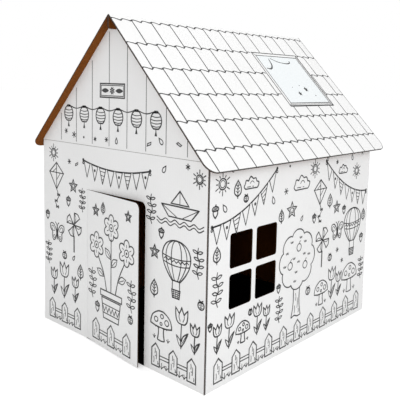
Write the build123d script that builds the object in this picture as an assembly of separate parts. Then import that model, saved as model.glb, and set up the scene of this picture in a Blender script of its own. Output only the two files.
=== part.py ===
"""Cardboard playhouse: two folded wall sheets, two roof halves, a door flap and black line print.

Millimetres, +Z up. The origin is on the floor, under the middle of the roof. The front gable
with the doorway faces -Y, and the long wall with the window faces +X.
"""
from build123d import *
from math import cos, hypot, pi, radians, sin, tan
import os

# Board and folds
board = 3.0                 # thickness of the corrugated board
fold_radius = 3.0           # outer radius of a vertical fold
score_width = 1.6           # width of the pressed line at the foot of each gable
score_depth = 0.6           # depth of that line

# House
house_width = 750.0         # outside, across the front gable
house_length = 845.0        # outside, along the ridge
ridge_height = 1000.0       # floor to the outside of the ridge
roof_pitch = 45.5           # degrees
side_overhang = 26.0        # roof past each long wall, measured level
front_overhang = 27.0       # roof past the front gable
rear_overhang = 70.0        # roof past the rear gable
eave_corner_radius = 35.0

# Flanges and flaps
ridge_flange_depth = 41.0   # from the outside of the ridge down
flange_corner_radius = 9.0
ridge_radius = 1.0
slot_clearance = 0.3        # each side of the two ridge flanges
corner_flap_width = 60.0    # glued inside the next wall
seat_flap_width = 50.0      # under the roof, along each long wall
flap_end_gap = 8.0          # between a seat flap's ends and the gables
corner_flap_drop = 12.0     # between a corner flap's top and the seat flap

# Doorway and door
door_width = 272.0
door_share = 0.777          # of the wall's height
door_corner_radius = 18.0
door_centre = 0.0
door_floor_gap = 3.0
cut_gap = 0.5               # left by the cutting rule round the door
hinge_gap = 0.3             # at the fold that the door swings on
door_ajar = 5.0             # degrees, as the door stands

# Window of four panes
window_from_front = 88.0    # front wall to the first pane
sill_share = 0.337          # floor to the lower panes, of the wall's height
pane_width = 96.0
pane_height = 96.5
mullion = 17.5              # upright bar between panes
transom = 17.0              # level bar between panes
pane_corner_radius = 9.0

# Print
ink = 0.3                   # thickness of the print
ink_gap = 0.02              # between the print and the board
line_width = 2.6
join_gap = 0.4              # between lines that end at another line
print_margin = 14.0         # bare board between the print and an edge
ridge_band = 14.0           # plain band under the ridge
course_depth = 96.5         # one row of tiles, down the slope
course_count = 6
tile_width = 75.0
wave_height = 8.0           # of a tile's lower edge
crest_share = 0.12          # where the edge is highest, of the tile's width
dip_share = 0.92            # where it is lowest
skylight_width = 266.0
skylight_depth = 247.0
skylight_from_front = 550.0
skylight_from_ridge = 111.0
skylight_frame = 13.0
plank_width = 81.0
plank_count = 9
plank_shift = 13.0          # of the planks to the right of the gable's middle
name_board_width = 112.0
name_board_height = 40.0
name_board_shift = -14.0
name_board_rise = 150.0     # above the wall's foot of the gable
lantern_rise = 52.0         # above the foot of the gable
lantern_height = 66.0
fence_rise = 18.0           # above the floor
fence_height = 66.0
picket_pitch = 76.0
picket_share = 0.45         # a picket's width, of the pitch
rail_share = 0.45           # the rail's height, of a picket's
pennant_pitch = 38.0

# Worked out from the sizes above
half_width = house_width / 2
roof_length = front_overhang + house_length + rear_overhang
roof_front_y = -roof_length / 2
roof_rear_y = roof_length / 2
front_y = roof_front_y + front_overhang
rear_y = front_y + house_length
middle_y = (front_y + rear_y) / 2
rise = tan(radians(roof_pitch))
cos_pitch = cos(radians(roof_pitch))
sin_pitch = sin(radians(roof_pitch))
eave_x = half_width + side_overhang
slope_length = eave_x / cos_pitch
under_ridge = ridge_height - board / cos_pitch
wall_height = under_ridge - half_width * rise
flange_bottom = ridge_height - ridge_flange_depth
door_height = door_share * wall_height
hinge_x = door_centre - door_width / 2
jamb_x = door_centre + door_width / 2
window_width = 2 * pane_width + mullion
window_height = 2 * pane_height + transom
window_sill = sill_share * wall_height
window_start = window_from_front - house_length / 2
window_end = window_start + window_width
window_top = window_sill + window_height
fence_top = fence_rise + fence_height

front_plane = Plane(origin=(0, front_y, 0), x_dir=(1, 0, 0), z_dir=(0, -1, 0))
rear_plane = Plane(origin=(0, rear_y, 0), x_dir=(-1, 0, 0), z_dir=(0, 1, 0))
right_plane = Plane(origin=(half_width, middle_y, 0), x_dir=(0, 1, 0), z_dir=(1, 0, 0))
left_plane = Plane(origin=(-half_width, middle_y, 0), x_dir=(0, -1, 0), z_dir=(-1, 0, 0))
right_slope = Plane(
    origin=(0, roof_front_y, ridge_height), x_dir=(0, 1, 0), z_dir=(sin_pitch, 0, cos_pitch)
)
left_slope = Plane(
    origin=(0, roof_rear_y, ridge_height), x_dir=(0, -1, 0), z_dir=(-sin_pitch, 0, cos_pitch)
)


def outline(*points):
    """A flat face inside the closed outline of the points."""
    return make_face(Polyline(*points, close=True))


def half_turn(shape):
    """The shape turned half round about the upright line through the middle of the walls."""
    return shape.rotate(Axis((0, middle_y, 0), (0, 0, 1)), 180)


def gable_panel():
    """The front gable, with the slot for the ridge flanges and the scored line at its foot.

    It stops one board short of the right corner, where the next sheet's raw edge shows.
    """
    right_x = half_width - board
    right_top = under_ridge - right_x * rise
    face = outline(
        (-half_width, 0),
        (right_x, 0),
        (right_x, right_top),
        (0, under_ridge),
        (-half_width, wall_height),
    )
    slot_half = board + slot_clearance
    face -= outline(
        (-slot_half, flange_bottom),
        (slot_half, flange_bottom),
        (slot_half, ridge_height),
        (-slot_half, ridge_height),
    )
    panel = extrude(front_plane * face, amount=-board)
    score = Pos((right_x - half_width) / 2, front_y, wall_height) * Box(
        right_x + half_width, 2 * score_depth, score_width
    )
    return panel - score


def side_panel():
    """The left long wall, whose rear edge is left raw at the rear corner."""
    return Pos(-half_width, front_y, 0) * Box(
        board, house_length, wall_height, align=(Align.MIN, Align.MIN, Align.MIN)
    )


def seat_flap():
    """The flap along the top of the left wall, folded in under the roof and glued to it."""
    inner_x = -half_width + board
    tip = (-half_width + seat_flap_width * cos_pitch, wall_height + seat_flap_width * sin_pitch)
    under_tip = (tip[0] + board * sin_pitch, tip[1] - board * cos_pitch)
    crease_z = wall_height + board * rise - board / cos_pitch
    section = outline(
        (-half_width, wall_height),
        tip,
        under_tip,
        (inner_x, crease_z),
        (inner_x, wall_height - board),
        (-half_width, wall_height - board),
    )
    length = house_length - 2 * (board + flap_end_gap)
    start = Plane(
        origin=(0, front_y + board + flap_end_gap, 0), x_dir=(1, 0, 0), z_dir=(0, -1, 0)
    )
    return extrude(start * section, amount=-length)


def corner_flap():
    """The flap on the gable's right edge, folded back and glued inside the right wall."""
    height = wall_height - corner_flap_drop
    face = outline(
        (0, 0),
        (corner_flap_width, corner_flap_width * tan(radians(10))),
        (corner_flap_width, height - corner_flap_width * tan(radians(10))),
        (0, height),
    )
    place = Plane(
        origin=(half_width - board, front_y, 0), x_dir=(0, 1, 0), z_dir=(1, 0, 0)
    )
    return extrude(place * face, amount=-board)


def fold_cutter(x, inward):
    """What is taken off a sharp upright corner at the front to leave a rounded fold."""
    centre = (x + inward * fold_radius, front_y + fold_radius)
    corner = Pos((x + centre[0]) / 2, (front_y + centre[1]) / 2, 0) * Rectangle(fold_radius, fold_radius)
    rounded = Pos(*centre, 0) * Circle(fold_radius)
    return extrude(corner - rounded, amount=ridge_height)


def wall_sheet():
    """One folded sheet: a gable, a long wall, a corner flap and a seat flap."""
    sheet = gable_panel() + side_panel() + seat_flap() + corner_flap()
    return sheet - fold_cutter(-half_width, 1) - fold_cutter(half_width - board, -1)


def door_outline(gap):
    """The door's outline, or with a gap, the outline of the hole that it is cut from."""
    left = hinge_x if gap else hinge_x + hinge_gap
    bottom = -board if gap else door_floor_gap
    right = jamb_x + gap
    top = door_height + gap
    radius = door_corner_radius + gap
    corner = JernArc(start=(right, top - radius), tangent=(0, 1), radius=radius, arc_size=90)
    edges = Polyline((right - radius, top), (left, top), (left, bottom), (right, bottom), (right, top - radius))
    return make_face(corner + edges)


def swing(shape):
    """The shape turned from the closed door's place to the place where the door stands ajar."""
    return shape.rotate(Axis((hinge_x, front_y, 0), (0, 0, 1)), -door_ajar)


def window_cut():
    """Four panes' worth of board, through the right long wall."""
    first = window_start + pane_width / 2
    lowest = window_sill + pane_height / 2
    panes = Sketch() + [
        Pos(first + column * (pane_width + mullion), lowest + row * (pane_height + transom))
        * RectangleRounded(pane_width, pane_height, pane_corner_radius)
        for column in range(2)
        for row in range(2)
    ]
    return extrude(right_plane * panes, amount=board, both=True)


def front_wall_sheet():
    """The front gable with its doorway, and the left long wall."""
    doorway = extrude(front_plane * door_outline(cut_gap), amount=board * 2, both=True)
    return wall_sheet() - doorway


def rear_wall_sheet():
    """The rear gable, and the right long wall with its window."""
    return half_turn(wall_sheet()) - window_cut()


def roof_half():
    """The right half of the roof, folded down at the ridge into a flange."""
    eave_z = ridge_height - eave_x * rise
    section = outline(
        (0, ridge_height),
        (eave_x, eave_z),
        (eave_x - board * sin_pitch, eave_z - board * cos_pitch),
        (board, under_ridge - board * rise),
        (board, flange_bottom),
        (0, flange_bottom),
    )
    place = Plane(origin=(0, roof_front_y, 0), x_dir=(1, 0, 0), z_dir=(0, -1, 0))
    half = extrude(place * section, amount=-roof_length)
    eave_corners = half.edges().filter_by(
        lambda edge: abs(edge.length - board) < 0.01 and edge.center().X > eave_x - 2 * board
        and abs(edge.tangent_at(0.5).Y) < 0.01
    )
    half = fillet(eave_corners, eave_corner_radius)
    flange_corners = half.edges().filter_by(Axis.X).filter_by(
        lambda edge: edge.center().Z < flange_bottom + 0.01
    )
    half = fillet(flange_corners, flange_corner_radius)
    ridge = half.edges().filter_by(Axis.Y).filter_by(
        lambda edge: edge.center().Z > ridge_height - 0.01
    )
    return fillet(ridge, ridge_radius)


def stroke(points, closed=False, width=line_width):
    """A printed line of even width along the points, with mitred corners."""
    count = len(points)
    steps = [
        (points[(i + 1) % count][0] - points[i][0], points[(i + 1) % count][1] - points[i][1])
        for i in range(count if closed else count - 1)
    ]
    units = [(dx / hypot(dx, dy), dy / hypot(dx, dy)) for dx, dy in steps]
    sides = [[], []]
    for i, (x, y) in enumerate(points):
        before = units[i - 1] if closed or i else units[0]
        after = units[i] if i < len(units) else units[-1]
        across = (-before[1] - after[1], before[0] + after[0])
        reach = width / (hypot(*across) ** 2)
        for side, sign in zip(sides, (1, -1)):
            side.append((x + sign * across[0] * reach, y + sign * across[1] * reach))
    if closed:
        rings = sorted((outline(*side) for side in sides), key=lambda face: face.area)
        return rings[1] - rings[0]
    return outline(*sides[0], *reversed(sides[1]))


def printed(plane, lines):
    """Thin black solids on the outside of a plane, one for each printed line."""
    artwork = Sketch() + [stroke(points, closed) for points, closed in lines]
    return extrude(plane.offset(ink_gap) * artwork, amount=ink)


def frame(left, bottom, right, top):
    """A closed rectangle."""
    return [([(left, bottom), (right, bottom), (right, top), (left, top)], True)]


def line(*points):
    """An open line through the points."""
    return [(list(points), False)]


def shape(points, x, y, size):
    """A closed outline, whose points are in parts of the size, from the middle of its foot."""
    return [([(x + size * a, y + size * b) for a, b in points], True)]


def loop(x, y, radius, corners=6):
    """A closed round outline about a centre, drawn with straight sides."""
    turns = [2 * pi * i / corners for i in range(corners)]
    return [([(x + radius * sin(turn), y + radius * cos(turn)) for turn in turns], True)]


def lobed(x, y, radius, lobes, dent):
    """A closed outline about a centre, with as many points as lobes and a dent between each."""
    reach = [radius if i % 2 == 0 else radius * dent for i in range(2 * lobes)]
    return [([
        (x + reach[i] * sin(pi * i / lobes), y + reach[i] * cos(pi * i / lobes))
        for i in range(2 * lobes)
    ], True)]


def star(x, y, size):
    """A five-pointed star."""
    return lobed(x, y + size / 2, size / 2, 5, 0.45)


def flower(x, y, radius):
    """A flower's head, with six petals."""
    return lobed(x, y, radius, 6, 0.62)


def tulip(x, y, size):
    """A tulip on its stem, with one leaf."""
    cup = [
        (0, 0.6), (-0.15, 0.66), (-0.2, 0.97), (-0.08, 0.84),
        (0, 1.0), (0.08, 0.84), (0.2, 0.97), (0.15, 0.66),
    ]
    leaf = [(0.05, 0.04), (0.22, 0.44), (0.06, 0.24)]
    stem = line((x, y), (x, y + 0.6 * size - line_width - join_gap))
    return shape(cup, x, y, size) + shape(leaf, x, y, size) + stem


def flower_pot(x, y, size):
    """Three flowers of a pot."""
    pot_top = 0.26 * size
    pot = [(-0.12, 0), (0.12, 0), (0.15, 0.19), (-0.15, 0.19)]
    lines = shape(pot, x, y, size)
    lines += frame(x - 0.17 * size, y + 0.205 * size, x + 0.17 * size, y + pot_top)
    for side, rise in ((-1, 0.66), (0, 0.86), (1, 0.68)):
        head = (x + side * 0.24 * size, y + rise * size)
        lines += flower(*head, 0.12 * size)
        foot = (x + side * 0.07 * size, y + pot_top + line_width + join_gap)
        neck = (head[0] - side * 0.03 * size, head[1] - 0.13 * size - line_width)
        lines += line(foot, neck)
    return lines


def tree(x, y, size):
    """A round-headed tree with fruit."""
    trunk = [(-0.09, 0), (0.09, 0), (0.055, 0.28), (-0.055, 0.28)]
    lines = shape(trunk, x, y, size) + lobed(x, y + 0.65 * size, 0.34 * size, 8, 0.86)
    for across, up in ((-0.14, 0.6), (0.02, 0.78), (0.15, 0.56)):
        lines += loop(x + across * size, y + up * size, 0.04 * size, 5)
    return lines


def mushroom(x, y, size):
    """A mushroom with a domed cap."""
    cap = [(-0.5, 0.5), (0.5, 0.5), (0.4, 0.82), (0.15, 1.0), (-0.15, 1.0), (-0.4, 0.82)]
    stem = [(-0.16, 0), (0.16, 0), (0.12, 0.42), (-0.12, 0.42)]
    return shape(cap, x, y, size) + shape(stem, x, y, size)


def boat(x, y, size):
    """A folded paper boat on a wave."""
    hull = [(-0.45, 0.22), (0.45, 0.22), (0.75, 0.55), (-0.75, 0.55)]
    sail = [(-0.36, 0.63), (0.36, 0.63), (0, 1.0)]
    wave = [(-0.95, 0.1), (-0.6, 0.0), (-0.3, 0.1), (0, 0.0), (0.3, 0.1), (0.6, 0.0), (0.95, 0.1)]
    lines = shape(hull, x, y, size) + shape(sail, x, y, size)
    return lines + line(*[(x + size * a, y + size * b) for a, b in wave])


def kite(x, y, size):
    """A kite with its tail."""
    sail = [(0, 0.42), (0.26, 0.78), (0, 1.0), (-0.26, 0.78)]
    tail = [(0.02, 0.38), (0.1, 0.26), (-0.04, 0.13), (0.06, 0)]
    return shape(sail, x, y, size) + line(*[(x + size * a, y + size * b) for a, b in tail])


def butterfly(x, y, size):
    """A butterfly with two pairs of wings."""
    lines = line((x, y + 0.15 * size), (x, y + 0.85 * size))
    for side in (-1, 1):
        wing = [(0.08, 0.5), (0.3, 0.95), (0.62, 0.9), (0.5, 0.48), (0.38, 0.08)]
        lines += shape([(side * a, b) for a, b in wing], x, y, size)
    return lines


def air_balloon(x, y, size):
    """A hot-air balloon with its basket."""
    bag = [
        (-0.1, 0.3), (0.1, 0.3), (0.3, 0.55), (0.34, 0.75),
        (0.18, 0.97), (-0.18, 0.97), (-0.34, 0.75), (-0.3, 0.55),
    ]
    basket = [(-0.08, 0), (0.08, 0), (0.1, 0.14), (-0.1, 0.14)]
    lines = shape(bag, x, y, size) + shape(basket, x, y, size)
    for side in (-1, 1):
        across = x + side * 0.07 * size
        gap = line_width + join_gap
        lines += line((across, y + 0.14 * size + gap), (across, y + 0.3 * size - gap))
    return lines


def cloud(x, y, size):
    """A cloud with a flat foot."""
    return shape([
        (-0.8, 0), (0.8, 0), (1.0, 0.35), (0.7, 0.62), (0.35, 0.6),
        (0.2, 0.95), (-0.25, 1.0), (-0.45, 0.66), (-0.9, 0.5),
    ], x, y, size)


def pinwheel(x, y, size):
    """Four folded sails on a stick."""
    radius = 0.3 * size
    hub = y + size - radius
    lines = line((x, y), (x, hub - radius - line_width))
    for quarter in range(4):
        turn = quarter * pi / 2
        lines.append(([
            (
                x + radius * (a * cos(turn) - b * sin(turn)),
                hub + radius * (a * sin(turn) + b * cos(turn)),
            )
            for a, b in ((0.1, 0.1), (0.1, 1.0), (0.75, 0.62))
        ], True))
    return lines


def bunting(left, right, left_height, right_height, sag):
    """A string that sags between two points, with pennants hung from it."""
    def level(x):
        share = (x - left) / (right - left)
        straight = left_height + (right_height - left_height) * share
        return straight - 4 * sag * share * (1 - share)
    count = round((right - left) / pennant_pitch)
    pitch = (right - left) / count
    lines = line(*[(left + i * pitch, level(left + i * pitch)) for i in range(count + 1)])
    drop = line_width + join_gap
    for i in range(count):
        start = left + (i + 0.14) * pitch
        end = left + (i + 0.86) * pitch
        middle = (start + end) / 2
        tip = (middle, level(middle) - drop - pitch * 1.2)
        lines.append(([(start, level(start) - drop), tip, (end, level(end) - drop)], True))
    return lines


def picket_fence(left, right):
    """Pointed pickets with a rail between them."""
    count = max(1, round((right - left) / picket_pitch))
    pitch = (right - left) / count
    half = pitch * picket_share / 2
    rail = fence_rise + fence_height * rail_share
    inset = half + line_width + join_gap
    lines = []
    for i in range(count):
        x = left + (i + 0.5) * pitch
        lines.append(([
            (x - half, fence_rise), (x + half, fence_rise), (x + half, fence_top - half),
            (x, fence_top), (x - half, fence_top - half),
        ], True))
        if i < count - 1:
            lines += line((x + inset, rail), (x + pitch - inset, rail))
    return lines


def arranged(field, drawn, motifs):
    """The lines of motifs laid out in a field, which keep their places when its size changes.

    The field is its left, bottom, right and top. The motifs' places and sizes were drawn for a
    field as wide and as high as the second value says.
    """
    left, bottom, right, top = field
    across = (right - left) / drawn[0]
    up = (top - bottom) / drawn[1]
    lines = []
    for motif, x, y, size in motifs:
        lines += motif(left + x * across, bottom + y * up, size * min(across, up))
    return lines


def plain_planks():
    """Upright joints between the rear gable's planks."""
    lines = []
    for i in range(1, plank_count):
        x = plank_shift + (i - plank_count / 2) * plank_width
        lines += line((x, wall_height + print_margin / 2), (x, under_ridge - abs(x) * rise - print_margin))
    return lines


def planks():
    """The front gable's plank joints, its plain name board and a row of lanterns."""
    lines = []
    board_left = name_board_shift - name_board_width / 2
    board_right = name_board_shift + name_board_width / 2
    board_low = wall_height + name_board_rise
    board_high = board_low + name_board_height
    for i in range(1, plank_count):
        x = plank_shift + (i - plank_count / 2) * plank_width
        top = under_ridge - abs(x) * rise - print_margin
        low = wall_height + print_margin / 2
        if board_left - line_width < x < board_right + line_width:
            lines += line((x, low), (x, board_low - line_width - join_gap))
            low = board_high + line_width + join_gap
        lines += line((x, low), (x, top))
        if 1 < i < plank_count - 1:
            lines += lantern(x - plank_width / 2, wall_height + lantern_rise, lantern_height)
    return lines + frame(board_left, board_low, board_right, board_high)


def lantern(x, y, size):
    """A paper lantern with a tassel."""
    body = [(-0.16, 0.3), (0.16, 0.3), (0.34, 0.65), (0.16, 1.0), (-0.16, 1.0), (-0.34, 0.65)]
    return shape(body, x, y, size) + line((x, y), (x, y + 0.3 * size - line_width - join_gap))


def gable_bunting():
    """A string of pennants over the middle of a gable wall."""
    reach = 0.41 * half_width
    height = 0.925 * wall_height
    return bunting(-reach, reach, height, height, 0.03 * wall_height)


def front_print_lines():
    """The front gable: planks, bunting, a kite, a boat, flowers and a fence."""
    edge = half_width - print_margin
    lines = planks() + gable_bunting()
    lines += picket_fence(-edge, hinge_x - print_margin)
    lines += picket_fence(jamb_x + print_margin, edge)
    lines += arranged((-half_width, fence_top, hinge_x, wall_height), (239, 530), [
        (tulip, 60, 14, 96), (tulip, 118, 14, 122), (tulip, 178, 14, 86),
        (butterfly, 78, 196, 62), (pinwheel, 172, 180, 128),
        (kite, 76, 310, 150), (star, 186, 356, 46),
    ])
    lines += arranged((jamb_x, fence_top, half_width, wall_height), (239, 530), [
        (mushroom, 70, 14, 84), (tulip, 150, 14, 116), (tulip, 200, 14, 84),
        (air_balloon, 138, 150, 160), (star, 48, 238, 42), (boat, 124, 350, 104),
    ])
    return lines


def door_print_lines():
    """The door: a pot of flowers, stars and the fence."""
    field = (hinge_x, fence_top, jamb_x, door_height)
    return picket_fence(hinge_x + print_margin, jamb_x - print_margin) + arranged(field, (272, 393), [
        (flower_pot, 136, 14, 330), (star, 52, 318, 38), (star, 222, 330, 34),
    ])


def right_print_lines():
    """The window wall: bunting in the top corners, a tree, a kite, flowers and a fence."""
    edge = house_length / 2 - print_margin
    reach = 0.325 * house_length
    low = 0.728 * wall_height
    high = 0.935 * wall_height
    lines = picket_fence(-edge, edge)
    lines += bunting(-edge, -edge + reach, low, high, 0.05 * wall_height)
    lines += bunting(edge - reach, edge, high, low, 0.05 * wall_height)
    lines += arranged((-house_length / 2, fence_top, window_end, window_sill), (305, 123), [
        (tulip, 46, 14, 84), (tulip, 96, 14, 100), (mushroom, 156, 14, 62),
        (tulip, 222, 14, 96),
    ])
    lines += arranged((window_end, fence_top, house_length / 2, wall_height), (540, 530), [
        (tree, 112, 14, 280), (star, 62, 330, 52), (cloud, 120, 420, 44),
        (pinwheel, 250, 140, 130), (mushroom, 262, 14, 84),
        (kite, 226, 292, 140), (tulip, 330, 14, 118), (butterfly, 352, 220, 64),
        (air_balloon, 446, 144, 172), (mushroom, 440, 14, 104),
    ])
    return lines


def left_print_lines():
    """The plain long wall: clouds, a tree, a kite and a fence."""
    edge = house_length / 2 - print_margin
    field = (-house_length / 2, fence_top, house_length / 2, wall_height)
    return picket_fence(-edge, edge) + arranged(field, (845, 530), [
        (tree, 180, 14, 330), (cloud, 420, 400, 56), (kite, 590, 230, 200), (mushroom, 400, 14, 100),
        (tulip, 700, 14, 120),
    ])


def rear_print_lines():
    """The rear gable: planks, bunting, flowers and a fence."""
    edge = half_width - print_margin
    field = (-half_width, fence_top, half_width, wall_height)
    return plain_planks() + gable_bunting() + picket_fence(-edge, edge) + arranged(field, (750, 530), [
        (tulip, 140, 14, 130), (air_balloon, 375, 110, 240), (mushroom, 600, 14, 110),
    ])


def course_line(start, end, depth, shift):
    """The waved lower edge of a row of tiles: a long fall and a short rise for each tile."""
    points = [(start, -depth)]
    for i in range(-1, int(end / tile_width) + 1):
        for share, drop in ((crest_share, 0.0), (dip_share, wave_height)):
            u = (i + share) * tile_width + shift
            if start + line_width < u < end - line_width:
                points.append((u, -depth - drop))
    points.append((end, -depth))
    return line(*points)


def tile_lines(skylight):
    """Rows of tiles down one half of the roof, left out under the skylight."""
    start = print_margin / 4
    end = roof_length - print_margin / 4
    sky_start = skylight_from_front - 2 * line_width
    sky_end = skylight_from_front + skylight_width + 2 * line_width
    sky_top = skylight_from_ridge - 2 * line_width
    sky_bottom = skylight_from_ridge + skylight_depth + 2 * line_width
    lines = []
    for row in range(course_count):
        depth = ridge_band + row * course_depth
        shift = 0.0 if row % 2 else tile_width / 2
        if skylight and sky_top < depth + wave_height and depth < sky_bottom:
            lines += course_line(start, sky_start, depth, shift) + course_line(sky_end, end, depth, shift)
        else:
            lines += course_line(start, end, depth, shift)
        top = depth + wave_height + line_width
        bottom = min(depth + course_depth - line_width, slope_length - 2 * line_width)
        u = tile_width * (0.5 if row % 2 else 1.0)
        while u < end - eave_corner_radius / 2:
            low = bottom
            high = top
            if skylight and sky_start - line_width < u < sky_end + line_width:
                if top < sky_top < bottom:
                    low = sky_top - line_width
                elif top < sky_bottom < bottom:
                    high = sky_bottom + line_width
                elif sky_top <= top and bottom <= sky_bottom:
                    low = high
            if low - high > 2 * line_width:
                lines += line((u, -high), (u, -low))
            u += tile_width
    return lines


def skylight_lines():
    """The printed skylight: an outer and an inner frame."""
    left = skylight_from_front
    right = left + skylight_width
    top = -skylight_from_ridge
    bottom = top - skylight_depth
    inset = skylight_frame
    return frame(left, bottom, right, top) + frame(
        left + inset, bottom + inset, right - inset, top - inset
    )


def skylight_pane():
    """The pale field of colour inside the printed skylight."""
    inset = skylight_frame + line_width / 2 + join_gap
    middle = Pos(
        skylight_from_front + skylight_width / 2, -skylight_from_ridge - skylight_depth / 2
    )
    pane = middle * Rectangle(skylight_width - 2 * inset, skylight_depth - 2 * inset)
    return extrude(right_slope.offset(ink_gap) * pane, amount=ink)


def door():
    """The door flap, as it stands ajar."""
    return swing(extrude(front_plane * door_outline(0), amount=-board))


def write(name, shape):
    """Saves one sub-part and prints its size."""
    export_step(shape, f"parts/{name}.step")
    solids = shape.solids()
    print(name, len(solids), "solids", round(sum(solid.volume for solid in solids)), "mm3")


os.makedirs("parts", exist_ok=True)
right_half = roof_half()
write("front_wall_sheet", front_wall_sheet())
write("rear_wall_sheet", rear_wall_sheet())
write("roof_right", right_half)
write("roof_left", right_half.mirror(Plane.YZ))
write("door", door())
write("front_print", printed(front_plane, front_print_lines()))
write("rear_print", printed(rear_plane, rear_print_lines()))
write("right_print", printed(right_plane, right_print_lines()))
write("left_print", printed(left_plane, left_print_lines()))
write("door_print", swing(printed(front_plane, door_print_lines())))
write("roof_right_print", printed(right_slope, tile_lines(True) + skylight_lines()))
write("roof_left_print", printed(left_slope, tile_lines(False)))
write("skylight_pane", skylight_pane())
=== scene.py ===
"""The cardboard playhouse's looks: board, cut edges, ink line art, studio light and camera."""
import bpy
import random
from math import cos, hypot, pi, radians, sin, tan
from mathutils import Matrix, Vector


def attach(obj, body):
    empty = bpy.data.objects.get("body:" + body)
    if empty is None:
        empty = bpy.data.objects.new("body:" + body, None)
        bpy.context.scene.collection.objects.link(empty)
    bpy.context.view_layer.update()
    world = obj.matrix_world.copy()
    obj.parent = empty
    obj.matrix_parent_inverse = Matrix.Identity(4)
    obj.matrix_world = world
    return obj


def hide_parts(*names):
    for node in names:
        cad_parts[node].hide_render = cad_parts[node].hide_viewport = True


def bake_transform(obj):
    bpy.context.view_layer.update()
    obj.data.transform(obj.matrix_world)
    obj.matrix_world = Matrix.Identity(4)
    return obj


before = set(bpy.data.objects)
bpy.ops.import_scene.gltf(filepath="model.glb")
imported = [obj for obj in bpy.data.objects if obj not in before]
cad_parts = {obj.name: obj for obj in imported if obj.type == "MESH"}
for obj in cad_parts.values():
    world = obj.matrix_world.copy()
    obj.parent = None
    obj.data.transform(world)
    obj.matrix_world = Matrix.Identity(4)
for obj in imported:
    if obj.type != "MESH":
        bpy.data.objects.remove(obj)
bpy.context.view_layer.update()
random.seed(7)

# Sizes of the frame, in millimetres
board = 3.0
half_width = 375.0
house_length = 845.0
half_length = house_length / 2
ridge_height = 1000.0
slope = radians(45.5)
front_y = -444.0
rear_y = 401.0
roof_front_y = -471.0
roof_rear_y = 471.0
roof_length = roof_rear_y - roof_front_y
eave_x = 401.0
eave_corner_radius = 35.0
rise = tan(slope)
under_ridge = ridge_height - board / cos(slope)
wall_height = under_ridge - half_width * rise
slope_length = eave_x / cos(slope)
middle_y = (front_y + rear_y) / 2
hinge_x = -136.0
jamb_x = 136.0
door_height = 0.777 * wall_height
door_ajar = radians(5)
pane_width, mullion = 96.0, 17.5
window_sill = 0.337 * wall_height
window_start = 88.0 - half_length
window_end = window_start + 2 * pane_width + mullion
plank_width = 81.0
plank_shift = 13.0          # of the planks to the right of the gable's middle
fence_rise = 18.0
fence_height = 66.0
fence_top = fence_rise + fence_height
print_margin = 14.0
field_height = 530.0        # of a wall over the fence, as its drawings were laid out

ink_lift = 0.3              # of the ink's top over the board
glass_lift = 0.12           # of the skylight's tint, which lies under the ink
hinge = Vector((hinge_x, front_y, 0))
ajar = Matrix.Translation(hinge) @ Matrix.Rotation(-door_ajar, 4, "Z") @ Matrix.Translation(-hinge)


# Materials. Their lengths are in metres.

flute_pitch = 0.0072


def new_material(name):
    """A material with its node tree and its shader."""
    material = bpy.data.materials.new(name)
    material.use_nodes = True
    tree = material.node_tree
    return material, tree, tree.nodes["Principled BSDF"]


def feed(tree, node, **inputs):
    """Gives a node its inputs, which are values or other nodes' outputs."""
    for key, value in inputs.items():
        numbered = key[0] == "i" and key[1:].isdigit()
        socket = node.inputs[int(key[1:]) if numbered else key.replace("_", " ")]
        if isinstance(value, bpy.types.NodeSocket):
            tree.links.new(value, socket)
        else:
            socket.default_value = value
    return node


def add(tree, kind, settings=None, **inputs):
    """A new node with its settings and its inputs."""
    node = tree.nodes.new(kind)
    for key, value in (settings or {}).items():
        setattr(node, key, value)
    return feed(tree, node, **inputs)


def maths(tree, operation, a, b=0.0):
    """The output of one sum on two values."""
    return add(tree, "ShaderNodeMath", {"operation": operation}, i0=a, i1=b).outputs[0]


def times(tree, a, b):
    """The product of two values."""
    return maths(tree, "MULTIPLY", a, b)


def plus(tree, a, b):
    """The total of two values."""
    return maths(tree, "ADD", a, b)


def off_middle(tree, value, middle):
    """How far a value lies from a middle."""
    return maths(tree, "ABSOLUTE", maths(tree, "SUBTRACT", value, middle))


def ramp(tree, value, *stops):
    """A colour ramp's output; each stop is a place and a colour."""
    node = add(tree, "ShaderNodeValToRGB", i0=value)
    marks = node.color_ramp.elements
    while len(marks) < len(stops):
        marks.new(0.5)
    for mark, (place, colour) in zip(marks, stops):
        mark.position = place
        mark.color = (*colour, 1)
    return node.outputs["Color"]


def noise(tree, where, scale, detail=3.0, roughness=0.5):
    """A noise texture's value."""
    settings = {"Scale": scale, "Detail": detail, "Roughness": roughness}
    return add(tree, "ShaderNodeTexNoise", Vector=where, **settings).outputs[0]


def stretched(tree, where, scale):
    """A texture place scaled on each axis."""
    return add(tree, "ShaderNodeMapping", Vector=where, Scale=scale).outputs[0]


def sheet_place(tree):
    """The place on the board or along its edge, from the UV map."""
    return add(tree, "ShaderNodeUVMap", {"uv_map": "sheet"}).outputs[0]


def mixed(tree, share, first, second, blend="MIX"):
    """Two colours mixed."""
    settings = {"data_type": "RGBA", "blend_type": blend}
    return add(tree, "ShaderNodeMix", settings, i0=share, i6=first, i7=second).outputs[2]


def surfaced(tree, shader, colour, roughness, height, strength=1.0, distance=1.0):
    """Gives the shader its colour, its roughness and a relief."""
    bump = add(tree, "ShaderNodeBump", Strength=strength, Distance=distance, Height=height).outputs[0]
    feed(tree, shader, Base_Color=colour, Roughness=roughness, Normal=bump)


def flutes(tree, where):
    """The washboard of the flutes under a liner, from -1 to 1, along the first axis of a place."""
    across = add(tree, "ShaderNodeSeparateXYZ", Vector=where).outputs[0]
    wander = times(tree, noise(tree, where, 6.0), 0.0015)
    return maths(tree, "SINE", times(tree, plus(tree, across, wander), 2 * pi / flute_pitch))


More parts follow.
